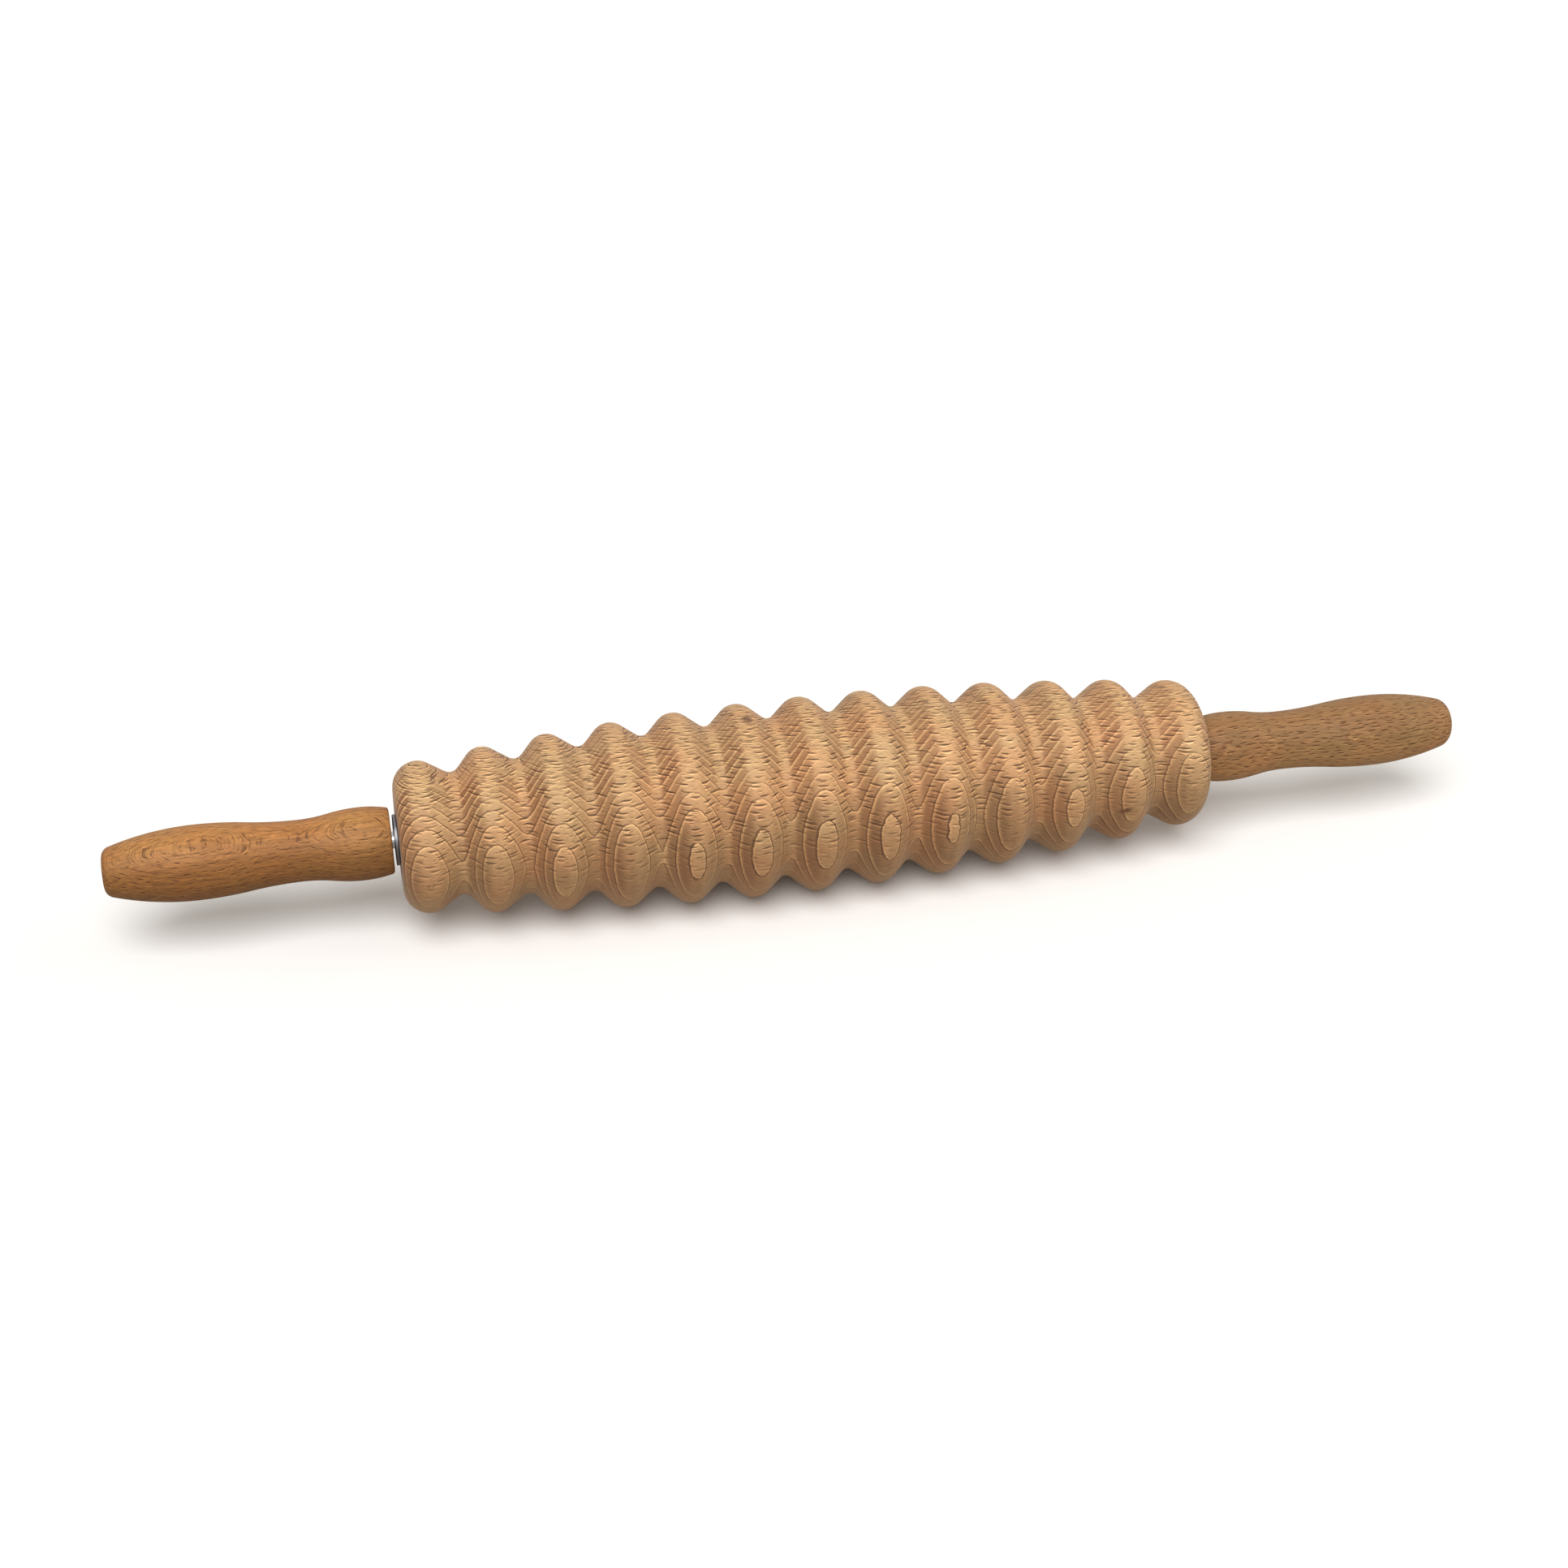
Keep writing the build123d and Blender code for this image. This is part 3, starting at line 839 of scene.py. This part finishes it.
def beech(name, look, grain, **shader):
    """Beech as it grows: year layers round a distant pith line, crossed by thin dark rays.

    Light early wood turns to reddish late wood and ends in a thin line. Rays are rows of tapered strokes
    along the fibre. All of it is a solid pattern, so it runs on over every ring, groove and end.
    """
    material, nodes, principled = new_material(name, **shader)
    math = nodes.math
    blank = Blank(nodes, grain)
    late_wood = blank.late_wood()
    line, rim_highlight = blank.year_lines()
    rays, lip_highlights = blank.rays()

    wood = blank.shaded_wood(blank.toned_wood(late_wood, look))
    edge_highlight = math("MAXIMUM", nodes.times(lip_highlights, grain["lip_highlights"]), nodes.times(rim_highlight, 0.6))
    # Painted highlights: the wood is brightened beside the rays' strokes and the year lines.
    wood = nodes.mix(edge_highlight, wood, nodes.tinted(wood, (1.85, 1.85, 1.85)))
    wood = nodes.mix(nodes.times(line, 0.85), wood, look.line)
    wood = nodes.mix(blank.nested_loops(), wood, look.ray)
    wood = nodes.mix(nodes.times(rays, 0.95), wood, look.ray)

    # Relief in millimetres: late wood stands a little proud, lines and rays are sunk.
    relief = nodes.times(late_wood, 0.040)
    relief = math("MULTIPLY_ADD", line, -0.035, relief)
    relief = math("MULTIPLY_ADD", rays, -0.070, relief)
    relief = math("MULTIPLY_ADD", blank.fibre, 0.030, relief)
    rough = math("MULTIPLY_ADD", blank.fibre, 0.25, grain["roughness"])
    nodes.finish(principled, wood, math("MULTIPLY_ADD", rays, 0.12, rough), relief, MM)
    return material


def marked(name, base, rates, gloss, darkest, softness, depth, **shader):
    """Metal or plastic with fine marks: noise, so many to the millimetre along each axis.

    The marks turn the colour from darkest of it to all of it, stand depth high, and make its roughness
    marks * gloss[0] + gloss[1].
    """
    material, nodes, principled = new_material(name, **shader)
    place = nodes.scaled(nodes.add("TexCoord").outputs["Object"], tuple(rate / MM for rate in rates))
    marks = nodes.noise(place, detail=3.0, roughness=softness)
    tint = nodes.mix(nodes.step(marks, -0.3, 0.3), tuple(part * darkest for part in base), base)
    nodes.finish(principled, tint, nodes.math("MULTIPLY_ADD", marks, *gloss), marks, depth)
    return material


# --- Operators ---


class MASSAGER_OT_roller(bpy.types.Operator):
    """Turn the ringed roller and give it raw beech"""

    bl_idname = "massager.roller"
    bl_label = "Roller"
    bl_options = {"REGISTER", "UNDO"}

    def execute(self, context):
        settings = context.scene.massager
        grain = {**ROLLER_GRAIN, "ring_pitch": settings.roller.ring_pitch / MM}
        gloss = {"Specular IOR Level": 0.35, "Sheen Weight": 0.12, "Sheen Roughness": 0.35}
        material = beech("raw_beech", settings.raw_beech, grain, **gloss)
        mesh = turned(roller_outline(settings.roller, ROLLER_HIGH.x), ROLLER_SEGMENTS, "roller_turned")
        add_piece("roller_turned", mesh, material, "roller", "roller")
        return {"FINISHED"}


class MASSAGER_OT_handles(bpy.types.Operator):
    """Turn both handles and give them oiled beech"""

    bl_idname = "massager.handles"
    bl_label = "Handles"
    bl_options = {"REGISTER", "UNDO"}

    def execute(self, context):
        look, sizes = context.scene.massager.oiled_beech, context.scene.massager.handle
        for side, towards, grain, rounding in (
            ("left", -1, LEFT_GRAIN, sizes.left_rounding),
            ("right", 1, RIGHT_GRAIN, sizes.right_rounding),
        ):
            name = f"handle_{side}_turned"
            material = beech(f"oiled_beech_{side}", look, grain, **{"Specular IOR Level": 0.25})
            outline = handle_outline(sizes, HANDLE_LOW.x, HANDLE_HIGH.x, rounding)
            mesh = turned(outline * (towards, 1), HANDLE_SEGMENTS, name)
            add_piece(name, mesh, material, "handles_and_rod", f"handle_{side}")
        return {"FINISHED"}


class MASSAGER_OT_fittings(bpy.types.Operator):
    """Finish the rod, washers, bushes and inserts"""

    bl_idname = "massager.fittings"
    bl_label = "Rod, washers, bushes and inserts"
    bl_options = {"REGISTER", "UNDO"}

    def execute(self, context):
        look = context.scene.massager.fittings
        metal = {"darkest": 0.8, "softness": 0.6, "depth": 0.01 * MM, "Metallic": 1.0}
        plastic = {"darkest": 0.93, "softness": 0.5, "depth": 0.02 * MM, "Specular IOR Level": 0.4}
        finishes = {
            "axle_rod": marked("rod_steel", look.rod, (0.15, 8.0, 8.0), (0.25, 0.22), **metal),
            "washer": marked("washer_steel", look.washer, (1.5, 1.5, 1.5), (0.25, 0.38), **metal),
            "roller_bush": marked("bush_plastic", look.bush, (2.0, 2.0, 2.0), (0.2, 0.5), **plastic),
            "handle_insert": marked("insert_brass", look.insert, (6.0, 0.6, 0.6), (0.25, 0.3), **metal),
        }
        for name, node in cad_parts.items():
            for start, material in finishes.items():
                if name.startswith(start):
                    node.data.materials.clear()
                    node.data.materials.append(material)
        return {"FINISHED"}


class MASSAGER_OT_stage(bpy.types.Operator):
    """Lay the floor, light it softly and place the camera"""

    bl_idname = "massager.stage"
    bl_label = "Stage"
    bl_options = {"REGISTER", "UNDO"}

    def execute(self, context):
        look = context.scene.massager.stage
        scene = context.scene
        scene.view_settings.view_transform = "Standard"
        self.floor(scene, look)
        self.sky(scene, look)
        self.lamps(scene, look)
        self.camera(scene, look)
        return {"FINISHED"}

    def floor(self, scene, look):
        """A level floor under the belly that fills the view. Its columns run backwards, so it faces up."""
        reach = np.linspace(-FLOOR_REACH, FLOOR_REACH, 3)
        x, y = np.meshgrid(reach, reach, indexing="ij")
        grid = np.stack([x, y, np.full_like(x, ROLLER_LOW.z)], axis=-1)[:, ::-1]
        mesh = grid_mesh("floor", grid, closed=(False, False))
        matt = {"Roughness": 0.9, "Specular IOR Level": 0.1}
        material, nodes, principled = new_material("pale_floor", **matt)
        seen = nodes.add("LightPath").outputs["Is Camera Ray"]
        nodes.feed(principled.inputs["Base Color"], nodes.mix(seen, look.bounce, look.floor))
        mesh.materials.append(material)
        floor = bpy.data.objects.new("floor", mesh)
        scene.collection.objects.link(floor)

    def sky(self, scene, look):
        """Even light from all round, and plain white where the camera or a gloss looks past the floor."""
        world = bpy.data.worlds.new("studio")
        world.use_nodes = True
        scene.world = world
        nodes = Nodes(world)
        path = nodes.add("LightPath").outputs
        seen = nodes.math("MAXIMUM", path["Is Camera Ray"], path["Is Glossy Ray"])
        seen = nodes.math("MAXIMUM", seen, path["Is Transmission Ray"])
        light = {"Color": (*look.sky_colour, 1.0), "Strength": look.sky}
        light = nodes.add("Background", light)
        white = nodes.add("Background", {"Color": (1.0, 1.0, 1.0, 1.0), "Strength": 1.0})
        mixed = nodes.add("MixShader", {0: seen, 1: light.outputs[0], 2: white.outputs[0]})
        nodes.add("OutputWorld", {"Surface": mixed.outputs[0]})

    def lamps(self, scene, look):
        """Two broad soft lamps: the main one high over the front, and a low one from the right."""
        for name, power, tilt, bearing in (
            ("soft_lamp", look.lamp, radians(35), radians(251)),
            ("right_fill", look.fill, radians(58), radians(-12)),
        ):
            data = bpy.data.lights.new(name, "SUN")
            data.angle = look.lamp_spread
            data.energy = power * pi
            data.color = look.lamp_colour
            lamp = bpy.data.objects.new(name, data)
            from_there = Vector((sin(tilt) * cos(bearing), sin(tilt) * sin(bearing), cos(tilt)))
            lamp.rotation_euler = (-from_there).to_track_quat("-Z", "Y").to_euler()
            scene.collection.objects.link(lamp)

    def camera(self, scene, look):
        """The camera, aimed a little to the left of the middle of the massager."""
        data = bpy.data.cameras.new("camera")
        data.lens = look.lens
        data.sensor_width = SENSOR_WIDTH
        low, high = cad_box
        aim = (low + high) / 2 + AIM_OFFSET
        ahead = Vector((
            sin(look.azimuth) * cos(look.elevation),
            cos(look.azimuth) * cos(look.elevation),
            -sin(look.elevation),
        ))
        camera = bpy.data.objects.new("camera", data)
        camera.location = aim - ahead * look.distance
        camera.rotation_euler = ahead.to_track_quat("-Z", "Y").to_euler()
        scene.collection.objects.link(camera)
        scene.camera = camera


class MASSAGER_PT_panel(bpy.types.Panel):
    """The massager's pieces, in the 3D view's sidebar"""

    bl_idname = "MASSAGER_PT_panel"
    bl_label = "Roller massager"
    bl_space_type = "VIEW_3D"
    bl_region_type = "UI"
    bl_category = "Massager"

    def draw(self, context):
        for operator in OPERATORS:
            self.layout.operator(operator.bl_idname)


GROUPS = (
    RollerSizes, HandleSizes, RawBeechLook, OiledBeechLook, FittingLook, StageLook, MassagerSettings,
)
OPERATORS = (MASSAGER_OT_roller, MASSAGER_OT_handles, MASSAGER_OT_fittings, MASSAGER_OT_stage)
CLASSES = (*GROUPS, *OPERATORS, MASSAGER_PT_panel)


def register():
    """Registers the add-on's classes and puts its settings on the scene."""
    for entry in CLASSES:
        bpy.utils.register_class(entry)
    bpy.types.Scene.massager = PointerProperty(type=MassagerSettings)


def unregister():
    """Takes the settings and the classes away again."""
    del bpy.types.Scene.massager
    for entry in reversed(CLASSES):
        bpy.utils.unregister_class(entry)


def main():
    """Builds every piece and the stage."""
    register()
    bpy.ops.massager.roller()
    bpy.ops.massager.handles()
    bpy.ops.massager.fittings()
    bpy.ops.massager.stage()


if __name__ == "__main__":
    main()
